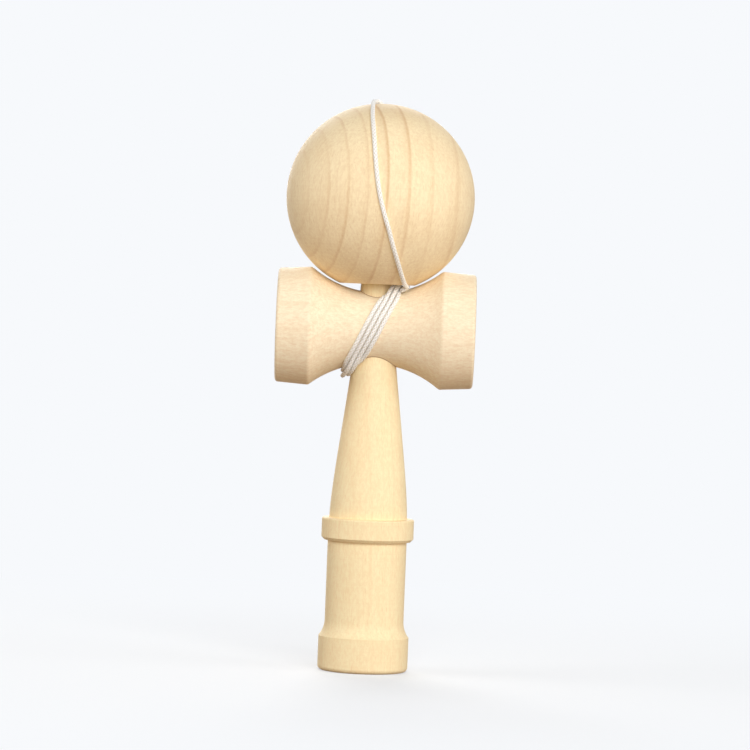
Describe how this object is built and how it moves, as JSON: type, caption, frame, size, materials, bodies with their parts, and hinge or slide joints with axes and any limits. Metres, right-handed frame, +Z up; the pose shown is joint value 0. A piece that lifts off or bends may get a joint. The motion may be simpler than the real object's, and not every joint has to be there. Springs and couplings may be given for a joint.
{
  "type": "cup and ball toy",
  "caption": "Turned wooden cup and ball toy: a handle with a spike and base cup, a crosspiece with cups at its ends, and a drilled ball seated on the spike, tied by a wound string.",
  "frame": {"origin": "middle of the base, on the surface that the toy stands on", "axes": "+Z up along the handle and the spike, +X along the crosspiece towards the small cup, -Y towards the viewer"},
  "size_m": [0.063, 0.0618, 0.1825],
  "materials": {
    "handle_wood": "satin",
    "crosspiece_wood": "satin",
    "ball_wood": "satin",
    "bead_wood": "satin",
    "string": "matte"
  },
  "bodies": {
    "handle": {"handle": "handle_wood", "crosspiece": "crosspiece_wood", "string_winding": "string", "tail_knot": "string"},
    "string": {"string_lead": "string", "bead": "bead_wood", "bead_knot": "string"},
    "ball": {"ball": "ball_wood"}
  },
  "joints": [
    {"name": "ball_lift", "type": "slide", "parent": "handle", "child": "string", "axis": [0, 0, 1], "range_m": [0, 0.027]},
    {"name": "ball_spin", "type": "hinge", "parent": "string", "child": "ball", "pos_m": [0, 0, 0.151], "axis": [0, 0, 1], "continuous": true}
  ]
}
